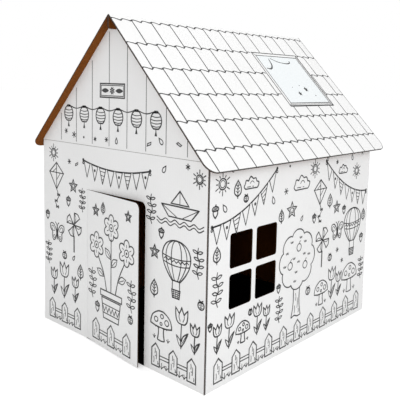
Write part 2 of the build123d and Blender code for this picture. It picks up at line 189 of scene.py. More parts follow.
def liner(name, pale, dark, fleck, flute_depth, roughness, gloss):
    """Paper liner over flutes: fibres, flecks, faint washboard and a little unevenness.

    The UV map gives the place on the board in metres, with the flutes along its second axis.
    """
    fibres_per_metre = (900.0, 260.0, 1.0)
    fibre_relief = 0.00012
    flute_shade = 0.006
    unevenness = 0.12
    material, tree, shader = new_material(name)
    place = sheet_place(tree)
    solid = add(tree, "ShaderNodeTexCoord").outputs["Object"]
    cloudy = noise(tree, solid, 5.0, 2.0)
    fibre = noise(tree, stretched(tree, place, fibres_per_metre), 1.0, 4.0, 0.65)
    colour = ramp(tree, cloudy, (0.3, dark), (0.7, pale))
    spots = ramp(tree, fibre, (0.28, fleck), (0.42, (1, 1, 1)))
    colour = mixed(tree, 1.0, colour, spots, "MULTIPLY")
    wave = flutes(tree, place)
    shade = plus(tree, times(tree, wave, flute_shade), 1 - flute_shade)
    colour = mixed(tree, 1.0, colour, shade, "MULTIPLY")
    height = plus(tree, times(tree, wave, flute_depth), times(tree, fibre, fibre_relief))
    uneven = plus(tree, times(tree, fibre, unevenness), roughness - unevenness / 2)
    surfaced(tree, shader, colour, uneven, height)
    feed(tree, shader, Specular_IOR_Level=gloss)
    return material


def cut_edge():
    """The cut edge of corrugated board: two liners with the fluted middle between them.

    The UV map gives metres along the edge, and the way through the board from 0 to 1. The
    attribute says whether the cut crosses the flutes, which then show as a wave.
    """
    flute_swing = 0.36          # of the middle paper's wave, through the board
    half_paper = 0.11           # of the middle paper's thickness
    liner_start = 0.41          # from the middle of the board
    material, tree, shader = new_material("cut_edge")
    place = sheet_place(tree)
    split = add(tree, "ShaderNodeSeparateXYZ", Vector=place)
    along, through = split.outputs[0], split.outputs[1]
    crosses = add(tree, "ShaderNodeAttribute", {"attribute_name": "crosses"}).outputs["Fac"]
    wave = maths(tree, "SINE", times(tree, along, 2 * pi / flute_pitch))
    swing = times(tree, times(tree, wave, flute_swing), crosses)
    centred = maths(tree, "SUBTRACT", through, 0.5)
    medium = maths(tree, "LESS_THAN", off_middle(tree, centred, swing), half_paper)
    outer = maths(tree, "GREATER_THAN", off_middle(tree, through, 0.5), liner_start)
    paper = maths(tree, "MAXIMUM", medium, outer)
    rough = noise(tree, stretched(tree, place, (700.0, 3.0, 1.0)), 1.0, 4.0, 0.7)
    # Painted shade: the hollows between the papers are near-black, and the papers' brown is partly their own
    # colour and partly painted shade of the cut edge.
    hollow_shade = ramp(tree, rough, (0.35, (0.012, 0.006, 0.003)), (0.7, (0.03, 0.014, 0.007)))
    pulp = ramp(tree, rough, (0.35, (0.065, 0.032, 0.015)), (0.7, (0.12, 0.062, 0.032)))
    height = plus(tree, times(tree, paper, 0.0004), times(tree, rough, 0.0003))
    surfaced(tree, shader, mixed(tree, paper, hollow_shade, pulp), 0.9, height, 0.8)
    return material


def print_ink(name, low, high, roughness):
    """Matt printing ink that lets a little of the paper's grain through."""
    material, tree, shader = new_material(name)
    solid = add(tree, "ShaderNodeTexCoord").outputs["Object"]
    grain = noise(tree, solid, 900.0, 3.0, 0.6)
    patches = noise(tree, solid, 14.0, 2.0)
    worn = plus(tree, times(tree, grain, 0.6), times(tree, patches, 0.4))
    surfaced(tree, shader, ramp(tree, worn, (0.35, low), (0.7, high)), roughness, grain, 0.15, 0.0002)
    return material


white = liner(
    "white_liner", pale=(0.935, 0.935, 0.935), dark=(0.91, 0.91, 0.907), fleck=(0.975, 0.972, 0.965),
    flute_depth=0.00006, roughness=0.62, gloss=0.35,
)
# The kraft's brown is darker than bare kraft paper: partly its own colour, partly painted shade of the roof's
# underside.
kraft = liner(
    "kraft_liner", pale=(0.212, 0.0655, 0.0095), dark=(0.163, 0.0485, 0.0065), fleck=(0.72, 0.66, 0.6),
    flute_depth=0.0001, roughness=0.85, gloss=0.12,
)
# Painted shade: a grey liner for the faces of the score groove at each gable's foot, whose paper is white.
crease_shade = liner(
    "crease_shade_liner", pale=(0.47, 0.46, 0.45), dark=(0.42, 0.41, 0.4), fleck=(0.9, 0.89, 0.87),
    flute_depth=0.0, roughness=0.8, gloss=0.1,
)
edge = cut_edge()
black = print_ink("black_ink", (0.012, 0.012, 0.013), (0.05, 0.05, 0.052), 0.55)
pane_tint = print_ink("pane_tint", (0.87, 0.91, 0.925), (0.895, 0.925, 0.935), 0.55)


# Boards

outside, inside, cut, shaded_crease = range(4)     # places of the materials on a sheet


def linked(name, data):
    """A new object in the scene."""
    piece = bpy.data.objects.new(name, data)
    bpy.context.scene.collection.objects.link(piece)
    return piece


def add_object(name, mesh, materials, body=None):
    """A new piece that rides on a body, where one is named."""
    for material in materials:
        mesh.materials.append(material)
    piece = linked(name, mesh)
    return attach(piece, body) if body else piece


def panels_of(node):
    """A sheet's flat panels: a point on the outside, the outward direction and the flutes' direction."""
    up = Vector((0, 0, 1))
    ahead = Vector((0, 1, 0))
    side = 1 if node in ("rear_wall_sheet", "roof_right") else -1
    off_slope = Vector((side * sin(slope), 0, cos(slope)))
    down_slope = Vector((side * cos(slope), 0, -sin(slope)))
    if node.startswith("roof"):
        ridge = Vector((0, 0, ridge_height))
        return [(ridge, off_slope, down_slope), (ridge, Vector((-side, 0, 0)), up)]
    if node == "door":
        turn = Matrix.Rotation(-door_ajar, 3, "Z")
        return [(Vector((hinge_x, front_y, 0)), turn @ -ahead, up)]
    gable = (Vector((0, rear_y if side > 0 else front_y, 0)), side * ahead, up)
    wall = (Vector((side * half_width, 0, 0)), Vector((side, 0, 0)), up)
    flap = (Vector((side * half_width, 0, wall_height)), off_slope, down_slope)
    corner = (Vector((-side * (half_width - board), 0, 0)), Vector((-side, 0, 0)), up)
    return [gable, wall, flap, corner]


def panel_at(panels, point, normal):
    """The panel whose thickness holds a face: flat on it, round a fold beside it, or a cut through it."""
    best = None
    for panel in panels:
        depth = (panel[0] - point).dot(panel[1])
        if -0.2 < depth < board + 0.2:
            flat = abs(normal.dot(panel[1]))
            score = 2 if flat > 0.99 else 1 + flat if flat > 0.6 else 1 - flat
            if best is None or score > best[0] + 1e-6:
                best = (score, panel, depth)
    return best


def dressed_sheet(node, body):
    """A board with white outside, brown inside and fluted cut edges, in place of its CAD node."""
    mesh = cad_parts[node].data.copy()
    mesh.materials.clear()
    while mesh.uv_layers:
        mesh.uv_layers.remove(mesh.uv_layers[0])
    sheet = mesh.uv_layers.new(name="sheet").data
    crosses = mesh.attributes.new("crosses", "FLOAT", "FACE").data
    panels = panels_of(node)
    for face in mesh.polygons:
        point = face.center * 1000
        normal = face.normal
        found = panel_at(panels, point, normal)
        _, (origin, outward, flute), depth = found or (2, panels[0], 0)
        flat = normal.dot(outward)
        if abs(flat) > 0.6:
            face.material_index = outside if flat > 0 else inside
            along, through, scale = outward.cross(flute), flute, 0.001
        else:
            face.material_index = cut
            along, through, scale = outward.cross(normal), -outward, 1 / board
            crosses[face.index].value = 1.0 if abs(along.dot(flute)) < 0.9 else 0.0
        # The score groove's faces take the grey of painted shade.
        if node.endswith("wall_sheet") and abs(point.z - wall_height) < 0.9 and 0.01 < depth < 0.7:
            face.material_index = shaded_crease
        for corner in face.loop_indices:
            spot = mesh.vertices[mesh.loops[corner].vertex_index].co * 1000 - origin
            sheet[corner].uv = (spot.dot(along) * 0.001, spot.dot(through) * scale)
    piece = add_object(node + "_dressed", mesh, (white, kraft, edge, crease_shade), body)
    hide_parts(node)
    return piece


# Line work. A stroke is (path, closed, width) in millimetres, on the face of a panel.

def plane(origin, across, outward):
    """A panel's face: its origin, its level axis, its upward axis and its outward axis."""
    across = Vector(across)
    outward = Vector(outward)
    return Vector(origin), across, outward.cross(across), outward


front_plane = plane((0, front_y, 0), (1, 0, 0), (0, -1, 0))
rear_plane = plane((0, rear_y, 0), (-1, 0, 0), (0, 1, 0))
right_plane = plane((half_width, middle_y, 0), (0, 1, 0), (1, 0, 0))
left_plane = plane((-half_width, middle_y, 0), (0, -1, 0), (-1, 0, 0))
right_slope = plane((0, roof_front_y, ridge_height), (0, 1, 0), (sin(slope), 0, cos(slope)))
left_slope = plane((0, roof_rear_y, ridge_height), (0, -1, 0), (-sin(slope), 0, cos(slope)))


def smoothed(points, closed, steps=6):
    """A smooth curve through the points."""
    def past(a, b):
        return 2 * b[0] - a[0], 2 * b[1] - a[1]
    if closed:
        whole = points[-1:] + points + points[:2]
    else:
        whole = [past(points[1], points[0])] + points + [past(points[-2], points[-1])]
    path = []
    for group in zip(whole, whole[1:], whole[2:], whole[3:]):
        for k in range(steps):
            t = k / steps
            path.append(tuple(
                0.5 * (2 * b + (c - a) * t + (2 * a - 5 * b + 4 * c - d) * t * t
                       + (3 * b - a - 3 * c + d) * t ** 3)
                for a, b, c, d in zip(*group)
            ))
    return path if closed else path + [points[-1]]


def with_corners(points, closed, width):
    """The points, with one more on each side of a sharp corner, so that a line keeps its width up to it."""
    nearness = 1.2          # of the added points to the corner, in widths of the line
    sharp_from = 0.1        # the cosine between a corner's arms from which it counts as sharp
    whole = []
    for i, point in enumerate(points):
        spot = Vector(point)
        arms = [Vector(points[i - 1]) - spot, Vector(points[(i + 1) % len(points)]) - spot]
        inner = closed or 0 < i < len(points) - 1
        sharp = inner and arms[0].normalized().dot(arms[1].normalized()) > sharp_from
        near = [
            [tuple(spot + arm.normalized() * width * nearness)]
            if sharp and arm.length > 2 * nearness * width else []
            for arm in arms
        ]
        whole += [*near[0], tuple(point), *near[1]]
    return whole


def ribbon(points, closed, width):
    """The two sides of a pen line along the points, mitred, with slightly uneven width."""
    wobble = 0.09           # of the width
    wobble_length = 11      # along the line
    if not isinstance(width, list):
        points = with_corners(points, closed, width)
    ahead = []
    for (x0, y0), (x1, y1) in zip(points, points[1:] + (points[:1] if closed else [])):
        length = hypot(x1 - x0, y1 - y0) or 1e-9
        ahead.append(((x1 - x0) / length, (y1 - y0) / length))
    phase = random.uniform(0, 2 * pi)
    widths = width if isinstance(width, list) else [width] * len(points)
    sides = []
    travelled = 0
    for i, (x, y) in enumerate(points):
        before = ahead[i - 1] if closed or i else ahead[0]
        after = ahead[i] if i < len(ahead) else ahead[-1]
        dx, dy = -before[1] - after[1], before[0] + after[0]
        reach = min(widths[i] / max(hypot(dx, dy) ** 2, 1e-9), widths[i])
        reach *= 1 + wobble * sin(phase + travelled / wobble_length)
        sides.append(((x + dx * reach, y + dy * reach), (x - dx * reach, y - dy * reach)))
        if i < len(points) - 1:
            travelled += hypot(points[i + 1][0] - x, points[i + 1][1] - y)
    return sides


def ink_piece(name, panel, strokes, body, replaced, material=black, turn=None, lift=ink_lift):
    """One piece with all the line work of a panel."""
    origin, across, up, outward = panel
    vertices = []
    faces = []
    for path, closed, width in strokes:
        first = len(vertices)
        if width == "fill":
            vertices += path
            faces.append(tuple(range(first, first + len(path))))
            continue
        sides = ribbon(path, closed, width)
        for ends in sides:
            vertices += ends
        count = len(sides)
        for i in range(count if closed else count - 1):
            a = first + 2 * i
            b = first + 2 * ((i + 1) % count)
            faces.append((a, a + 1, b + 1, b))
    mesh = bpy.data.meshes.new(name)
    placed = []
    for u, v in vertices:
        point = origin + across * u + up * v + outward * lift
        if turn:
            point = turn @ point
        placed.append(point / 1000)
    mesh.from_pydata(placed, [], faces)
    mesh.update()
    facing = turn.to_3x3() @ outward if turn else outward
    for polygon in [p for p in mesh.polygons if p.normal.dot(facing) < 0]:
        polygon.flip()
    piece = add_object(name, mesh, (material,), body)
    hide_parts(replaced)
    return piece


# Drawings. Each is a list of strokes with its foot at the origin and a height of about 100.

bold = 4.0
thin = 3.1
fine = 2.4


def curve(*points):
    """A smooth open path through the points."""
    return smoothed(list(points), False)


def ring(*points):
    """A smooth closed path through the points."""
    return smoothed(list(points), True)


def bends(first, *others):
    """Smooth curves that follow each other, with a corner where each ends."""
    path = curve(*first)
    for points in others:
        path += curve(path[-1], *points)[1:]
    return path


def around(x, y, reaches):
    """A closed path at the given distances from a point, evenly turned, from the top."""
    step = 2 * pi / len(reaches)
    return [(x + reach * sin(step * i), y + reach * cos(step * i)) for i, reach in enumerate(reaches)]


def line(width, *points):
    """A stroke of straight pieces."""
    return list(points), False, width


def loop(width, *points):
    """A closed stroke of straight pieces."""
    return list(points), True, width


def sweep(width, *points):
    """A smooth open stroke."""
    return curve(*points), False, width


def mirrored(path):
    """A path's mirror image across the upright middle."""
    return [(-x, y) for x, y in path]


def both(path):
    """A closed outline: a path up the left side and its mirror image down the right."""
    return path + [point for point in mirrored(path)[::-1] if abs(point[0]) > 1e-6]


def pair(stroke):
    """A stroke and its mirror image."""
    return [stroke, (mirrored(stroke[0]), *stroke[1:])]


def circle(x, y, radius, width=thin, corners=20):
    """A drawn circle, or with the width "fill" a disc."""
    turns = [2 * pi * i / corners for i in range(corners)]
    return [([(x + radius * cos(turn), y + radius * sin(turn)) for turn in turns], True, width)]


def put(drawing, x, y, size, lean=0.0):
    """A drawing's strokes at their place, with the given size and lean."""
    c, s = size / 100 * cos(lean), size / 100 * sin(lean)
    return [
        ([(x + a * c + b * s, y - a * s + b * c) for a, b in path], closed, width)
        for path, closed, width in drawing
    ]


def star():
    """A five-pointed star with a smaller one in it."""
    sizes = ((50, bold), (24, fine))
    return [(around(0, 50, [reach, reach * 0.45] * 5), True, width) for reach, width in sizes]


def blossom(x, y, radius):
    """A flower's head, with six petals."""
    petals = [radius * (0.64 + 0.36 * abs(cos(pi * i / 12)) ** 0.8) for i in range(72)]
    strokes = [(around(x, y, petals), True, bold)] + circle(x, y, 0.27 * radius)
    strokes += circle(x, y, 0.1 * radius, "fill", 10)
    marks = zip(around(x, y, [0.4 * radius] * 6), around(x, y, [0.66 * radius] * 6))
    return strokes + [line(fine, *ends) for ends in marks]


def tulip():
    """A tulip with its petals' edges and two leaves."""
    side = bends(
        [(0, 60), (-10, 61.5), (-17, 69), (-19.5, 82), (-20, 97)],
        [(-13, 90), (-8, 84)], [(-3, 93), (0, 100)],
    )
    large = bends([(0, 5), (10, 20), (22, 44)], [(6, 32), (0, 18)])
    small = bends([(0, 4), (-9, 12), (-17, 31)], [(-5, 22), (0, 13)])
    return [
        (both(side), True, bold),
        *pair(sweep(fine, (-8, 84), (-8.5, 75), (-4, 66))),
        sweep(bold, (-1, 0), (-1.5, 30), (0, 60)),
        (large, False, bold),
        sweep(fine, (3, 15), (10, 27), (17, 38)),
        (small, False, thin),
    ]


def flower_pot():
    """Three flowers in a pot with a zigzag band."""
    strokes = [
        loop(bold, (-12, 0), (12, 0), (15, 19), (-15, 19)),
        loop(bold, (-17, 20.5), (17, 20.5), (17, 26), (-17, 26)),
        line(thin, (-12.8, 5), (12.8, 5)),
        line(thin, (-14, 13), (14, 13)),
        line(thin, *[(-13 + 2.6 * i, 6.5 if i % 2 else 11.5) for i in range(11)]),
    ]
    for side, top in ((-1, 66), (0, 86), (1, 68)):
        head = side * 24
        strokes += blossom(head, top, 12)
        strokes.append(sweep(bold, (side * 7, 26), (side * 12, 42), (head - side * 3, top - 10)))
    blade = bends([(0, 0), (7, 3.5), (13, 0)], [(7, -3), (0, 0)])[:-1]
    for x, y, turn in ((-11, 39, 2.75), (11, 39, 0.4), (0, 50, 0.75), (0, 57, 2.4)):
        strokes += put([(blade, True, thin), line(fine, (2, 0), (10, 0))], x, y, 100, -turn)
    return strokes


def tree():
    """A round-headed tree with fruit and leaf marks."""
    crown = [34 * (0.87 + 0.13 * abs(cos(pi * i / 10)) ** 0.7) for i in range(80)]
    strokes = [(around(0, 65, crown), True, bold)]
    strokes += pair(sweep(bold, (-9, 0), (-6.5, 10), (-5.5, 20), (-6, 32)))
    strokes.append(line(bold, (-9, 0), (-3, 1.8), (3, -0.4), (9, 0)))
    for x, low, high in ((-3, 4, 13), (2, 9, 21), (-1.5, 18, 27), (4.5, 3, 8)):
        strokes.append(sweep(fine, (x, low), (x + 0.8, (low + high) / 2), (x, high)))
    for x, y in ((-14, 60), (2, 78), (15, 56)):
        strokes += circle(x, y, 4.2)
        strokes.append(sweep(fine, (x, y + 4.2), (x + 1.2, y + 6.5), (x + 3, y + 7)))
    for x, y in (
        (-20, 76), (-7, 68), (13, 70), (22, 68), (-2, 52), (-12, 87), (5, 90),
        (-24, 62), (2, 63), (14, 84), (-4, 42),
    ):
        dips = [(x - 2.5, y), (x - 1.2, y - 2), (x, y), (x + 1.2, y - 2), (x + 2.5, y)]
        strokes.append(sweep(fine, *dips))
    return strokes


def grass(x, width):
    """A tuft of grass."""
    blades = ((-1, 10), (0, 15), (1, 11))
    return [
        sweep(fine, (x, 0), (x + side * width / 3, high / 2), (x + side * width, high))
        for side, high in blades
    ]


def mushroom():
    """A mushroom with a spotted cap and grass at its foot."""
    top = [(-50, 50), (-49, 63), (-40, 82), (-17, 97), (0, 100)]
    brim = [(25, 45), (0, 44), (-25, 45), (-50, 50)]
    strokes = [(bends(both(top), brim)[:-1], True, bold)]
    strokes += pair(sweep(bold, (-13, 44), (-12, 25), (-17, 0)))
    strokes.append(sweep(bold, (-17, 0), (0, -2), (17, 0)))
    for x, y, radius in ((-24, 68, 8.5), (4, 83, 7), (27, 66, 9.5), (0, 57, 5)):
        strokes += circle(x, y, radius)
    for i in (-3, -2, -1, 1, 2, 3):
        strokes.append(line(fine, (i * 10, 45.5 + 0.4 * abs(i)), (i * 8.5, 41)))
    return strokes + grass(-32, 7) + grass(34, 8)


def boat():
    """A folded paper boat on waves."""
    strokes = [
        loop(bold, (-45, 22), (45, 22), (75, 55), (-75, 55)),
        loop(bold, (-36, 61), (36, 61), (0, 100)),
        line(fine, (-75, 55), (-12, 24)),
        line(fine, (75, 55), (12, 24)),
        line(fine, (0, 61), (0, 100)),
    ]
    for level in (10, 0):
        strokes.append(sweep(thin, *[(-95 + 19 * i, level + 4.5 * cos(pi * i)) for i in range(11)]))
    return strokes


def bow(x, y):
    """A kite tail's bow."""
    return [loop(thin, (x, y), (x + reach, y + 2.2), (x + reach, y - 2.2)) for reach in (-4.5, 4.5)]


def kite():
    """A kite with its spars, a line in two of its quarters and a tail with bows."""
    share = 0.45
    strokes = [
        loop(bold, (0, 42), (26, 78), (0, 100), (-26, 78)),
        line(thin, (0, 42), (0, 100)),
        line(thin, (-26, 78), (26, 78)),
        sweep(thin, (0, 42), (5, 34), (8, 27), (2, 19), (-4, 13), (0, 6), (6, 0)),
        line(fine, (0, 78 + 22 * share), (-26 * (1 - share), 78)),
        line(fine, (0, 78 - 36 * share), (26 * (1 - share), 78)),
    ]
    return strokes + bow(7.5, 30) + bow(-2, 15.5) + bow(3, 3)


def butterfly():
    """A butterfly with spotted wings."""
    wing = ring(
        (5, 50), (14, 74), (34, 95), (60, 92), (60, 68), (43, 50), (44, 26),
        (34, 8), (18, 14), (7, 38),
    )
    strokes = pair((wing, True, bold))
    strokes += pair((ring((22, 62), (36, 82), (50, 80), (46, 64), (32, 56)), True, fine))
    strokes += pair(*circle(27, 27, 8, fine))
    strokes += [(ring((0, 15), (3.5, 50), (0, 80), (-3.5, 50)), True, bold)]
    return strokes + pair(sweep(thin, (0, 80), (7, 98), (18, 106)))


def air_balloon():
    """A hot-air balloon with its gores, a zigzag band and a wicker basket."""
    side = curve((-10, 30), (-21, 42), (-31, 58), (-34, 75), (-27, 90), (-14, 98), (0, 100))
    strokes = [(both(side), True, bold)]
    for share in (0.36, 0.74):
        strokes += pair(line(thin, *[(x * share, y) for x, y in side]))
    for level, reach in ((60, 31), (72, 33.5)):
        half = [(-reach, level), (-reach / 2, level - 3)]
        strokes.append(sweep(thin, *half, (0, level - 4), *mirrored(half)[::-1]))
    zigzag = [(-30 + 5 * i, 69 - 4 * (1 - i % 2) - 3.5 * cos(0.26 * (i - 6))) for i in range(13)]
    strokes.append(line(thin, *zigzag))
    strokes.append(loop(bold, (-8, 0), (8, 0), (10, 14), (-10, 14)))
    for i in range(1, 4):
        strokes.append(line(fine, (-8 - 0.5 * i, 3.5 * i), (8 + 0.5 * i, 3.5 * i)))
    for x in (-5, 0, 5):
        strokes.append(line(fine, (x * 0.9, 0), (x * 1.15, 14)))
    return strokes + pair(line(thin, (-9, 14), (-8.5, 30)))


def cloud():
    """A cloud with a flat foot."""
    billows = bends(
        [(-80, 0), (-100, 20), (-86, 45)], [(-74, 74), (-43, 68)],
        [(-12, 103), (24, 82)], [(56, 84), (72, 56)], [(100, 46), (97, 20), (80, 0)],
    )
    return [
        (billows[-1:] + billows[:-1], True, bold),
        line(fine, (-62, 16), (-10, 16)),
        line(fine, (10, 16), (30, 16)),
        sweep(fine, (-20, 42), (0, 62), (24, 58), (34, 44)),
    ]


def pinwheel():
    """A paper windmill on a stick."""
    rim = bends([(5, 100), (50, 94), (78, 62)], [(38, 34), (3, 5)])
    sail = rim[-1:] + rim[:-1]
    strokes = pair(line(thin, (-1.2, 0), (-1.2, 42)))
    for quarter in range(4):
        parts = [(sail, True, bold), sweep(fine, (5, 100), (26, 60), (10, 16))]
        strokes += put(parts, 0, 70, 30, quarter * pi / 2)
    return strokes + circle(0, 70, 2.8, "fill", 12)


def lantern():
    """A paper lantern with ribs and a tassel."""
    side = curve((-15, 30), (-28, 43), (-33.5, 63), (-28, 84), (-15, 97))
    strokes = [(side + mirrored(side)[::-1], True, bold)]
    for share, level in ((0.8, 42), (0.97, 55), (0.99, 68), (0.85, 82)):
        reach = 33.5 * share
        strokes.append(sweep(fine, (-reach, level), (0, level - 4), (reach, level)))
    strokes.append(loop(thin, (-10, 97), (10, 97), (10, 103), (-10, 103)))
    strokes.append(line(thin, (0, 30), (0, 18)))
    return strokes + [line(thin, (0, 18), (x, 0)) for x in (-5.5, 0, 5.5)]


def sprig():
    """A hanging sprig with pairs of leaves."""
    strokes = [sweep(thin, (3, 0), (-5, 25), (5, 50), (-4, 75), (0, 100))]
    blade = ring((0, 0), (10, 7), (21, 6), (12, -1))
    for level, shift in ((16, -3), (38, 2), (60, 3), (82, -3)):
        strokes += put([(mirrored(blade), True, thin), (blade, True, thin)], shift, level, 100)
    return strokes


def sun():
    """A sun with long and short rays."""
    strokes = circle(0, 50, 23, bold, 28) + circle(0, 50, 15, fine, 22)
    rays = zip(around(0, 50, [29] * 12), around(0, 50, [50, 40] * 6))
    return strokes + [line(thin, *ends) for ends in rays]


def acorn():
    """An acorn in its cup."""
    nut = bends([(-26, 60), (-24, 30), (-10, 10), (0, 0)], [(10, 10), (24, 30), (26, 60)])
    cup = ring((-34, 62), (0, 54), (34, 62), (28, 82), (0, 90), (-28, 82))
    strokes = [(nut, False, bold), (cup, True, bold), sweep(bold, (0, 90), (2, 98), (9, 104))]
    return strokes + [line(fine, (x - 5, 62), (x + 5, 82)) for x in (-18, -6, 6, 18)]


def leaf():
    """A leaf with its veins."""
    rim = bends([(0, 12), (-26, 32), (-24, 66), (0, 100)], [(24, 66), (26, 32), (0, 12)])
    strokes = [(rim[:-1], True, bold), line(thin, (0, 0), (0, 86))]
    for level in (32, 50, 66):
        strokes += pair(line(fine, (0, level), (-15, level + 12)))
    return strokes


def ladybird():
    """A small spotted beetle seen from above."""
    strokes = circle(0, 45, 42, bold, 26) + [line(thin, (0, 3), (0, 74))]
    strokes.append(sweep(thin, (-33, 70), (0, 78), (33, 70)))
    for x, y, radius in ((18, 50, 7), (15, 24, 6)):
        strokes += pair(*circle(x, y, radius, "fill", 10))
    return strokes + pair(sweep(thin, (10, 84), (20, 98), (32, 100)))


def small_spark():
    """Three short strokes that cross."""
    tips = around(0, 40, [42] * 6)
    return [line(thin, tips[i + 3], tips[i]) for i in range(3)]


def small_dot():
    """A round dot."""
    return circle(0, 30, 20, "fill", 12)


def small_drop():
    """A drop."""
    rim = bends([(0, 100), (-25, 50), (-20, 12), (0, 0)], [(20, 12), (25, 50), (0, 100)])
    return [(rim[:-1], True, thin)]


def small_ribbon():
    """A slip of paper."""
    return [loop(thin, (-50, 10), (30, 0), (50, 28), (-30, 38))]


# Fields of drawings. A field is its left, bottom, right and top; taken holds the discs in use on a face.

def inset(field, by):
    """A field made smaller on every side."""
    left, bottom, right, top = field
    return left + by, bottom + by, right - by, top - by


def arranged(field, drawn, motifs, taken):
    """The strokes of motifs laid out in a field that was drawn at another size."""
    left, bottom, right, top = field
    across = (right - left) / drawn[0]
    up = (top - bottom) / drawn[1]
    strokes = []
    for motif, x, y, size in motifs:
        size *= min(across, up)
        place = (left + x * across, bottom + y * up)
        whole = put(motif(), *place, size)
        strokes += whole
        reach = max(abs(x - place[0]) for path, _, _ in whole for x, _ in path)
        taken.append((place[0], place[1] + size / 2, max(reach, size / 2) + 3))
    return strokes


def confetti(field, count, taken):
    """Small marks strewn over the empty parts of a field."""
    tries = 12
    left, bottom, right, top = field
    strokes = []
    for _ in range(count * tries):
        x, y = random.uniform(left, right), random.uniform(bottom, top)
        kind = random.choice((small_spark, small_dot, small_drop, small_ribbon, small_spark))
        size = random.uniform(16, 25)
        lean = random.uniform(-0.9, 0.9)
        if count and all(hypot(x - a, y - b) > r + size * 0.8 for a, b, r in taken):
            taken.append((x, y, 30))
            strokes += put(kind(), x, y, size, lean)
            count -= 1
    return strokes


def bunting(left, right, left_height, right_height, sag, taken):
    """A sagging string with pennants, some striped and some dotted, and a knot at each end."""
    def level(x):
        share = (x - left) / (right - left)
        return left_height + (right_height - left_height) * share - 4 * sag * share * (1 - share)
    pennant_pitch = 38
    count = round((right - left) / pennant_pitch)
    pitch = (right - left) / count
    strokes = [sweep(thin, *[(left + i * pitch, level(left + i * pitch)) for i in range(count + 1)])]
    for i in range(count):
        a, b = left + (i + 0.1) * pitch, left + (i + 0.9) * pitch
        x, y = (a + b) / 2, level((a + b) / 2) - 3 - pitch * 1.2
        corners = [(a, level(a) - 2), (b, level(b) - 2)]
        strokes.append(loop(thin, corners[0], (x, y), corners[1]))
        taken.append((x, y + pitch / 2, pitch * 0.9))
        if i % 3 == 1:
            strokes += circle(x, y + pitch * 0.85, pitch * 0.12, "fill", 10)
        elif i % 3 == 2:
            for share in (0.3, 0.55, 0.8):
                strokes.append(line(fine, *[(x + (c - x) * share, y + (d - y) * share) for c, d in corners]))
    for x, y in ((left, left_height), (right, right_height)):
        strokes += circle(x, y, 5, "fill", 14) + circle(x, y - 9, 3.4, thin, 12)
    return strokes


def gable_bunting(taken):
    """The bunting over the middle of a gable wall."""
    reach = 0.41 * half_width
    return bunting(-reach, reach, 0.925 * wall_height, 0.925 * wall_height, 0.03 * wall_height, taken)


def picket_fence(left, right):
    """Pointed pickets with grain and nails, and a rail between them."""
    picket_pitch = 76
    count = max(1, round((right - left) / picket_pitch))
    pitch = (right - left) / count
    half = pitch * 0.45 / 2
    shoulder = fence_top - half
    rail = fence_rise + fence_height * 0.45
    grain = ((-0.45, 0.12, 0.4), (0.2, 0.3, 0.66), (0.55, 0.08, 0.24), (-0.15, 0.55, 0.78))
    strokes = []
    for i in range(count):
        x = left + (i + 0.5) * pitch
        strokes.append(loop(
            bold, (x - half, fence_rise), (x + half, fence_rise), (x + half, shoulder), (x, fence_top),
            (x - half, shoulder),
        ))
        for shift, low, high in grain:
            at = x + shift * half
            foot, head = fence_rise + low * fence_height, fence_rise + high * fence_height
            strokes.append(sweep(fine, (at, foot), (at + 1.2, (foot + head) / 2), (at, head)))
        strokes += circle(x, rail, 1.8, "fill", 8)
        if i < count - 1:
            for level in (rail - 4.5, rail + 4.5):
                strokes.append(line(thin, (x + half, level), (x + pitch - half, level)))
            strokes += put(grass(0, 13), x + pitch * 0.36, fence_rise - 2, 120)
            strokes += put(grass(0, 10), x + pitch * 0.62, fence_rise - 1, 90)
    return strokes


def plank_joints(name_board=None):
    """Upright joints between the gable's planks, which stop at the name board where there is one."""
    width = 2.2
    strokes = []
    for i in range(1, 9):
        x = plank_shift + (i - 4.5) * plank_width
        top = under_ridge - abs(x) * rise - print_margin
        low = wall_height + print_margin / 2
        if name_board and name_board[0] < x < name_board[2]:
            strokes.append(line(width, (x, low), (x, name_board[1])))
            low = name_board[3]
        strokes.append(line(width, (x, low), (x, top)))
    return strokes


def framed(width, field):
    """A field's outline."""
    left, bottom, right, top = field
    return loop(width, (left, bottom), (right, bottom), (right, top), (left, top))


def name_board_strokes(field):
    """The name board: a double outline, a flower and two filled lens shapes."""
    middle_x, middle_y = (field[0] + field[2]) / 2, field[1] + 20
    strokes = [framed(bold, field), framed(fine, inset(field, 5))]
    strokes.append((around(middle_x, middle_y, [5.0, 11.5] * 8), True, fine))
    strokes += circle(middle_x, middle_y, 3.2, "fill", 12)
    for side in (-1, 1):
        ends = [(middle_x + side * (15 + 1.7 * i), 6.5 * sin(pi * i / 20) ** 0.8) for i in range(21)]
        lens = [(x, middle_y + half) for x, half in ends]
        lens += [(x, middle_y - half) for x, half in ends[-2:0:-1]]
        strokes.append((lens, True, "fill"))
    return strokes


def lantern_string(taken):
    """Lanterns on a string across the gable, one on each of the middle planks."""
    foot = wall_height + 52
    size = 66
    strokes = []
    hooks = []
    for i in range(2, 8):
        x = plank_shift + (i - 5) * plank_width
        strokes += put(lantern(), x, foot, size)
        hooks.append((x, foot + size + 2))
        taken.append((x, foot + size / 2, 38))
    for (xa, ya), (xb, yb) in zip(hooks, hooks[1:]):
        strokes.append(sweep(thin, (xa, ya), ((xa + xb) / 2, ya - 9), (xb, yb)))
    return strokes


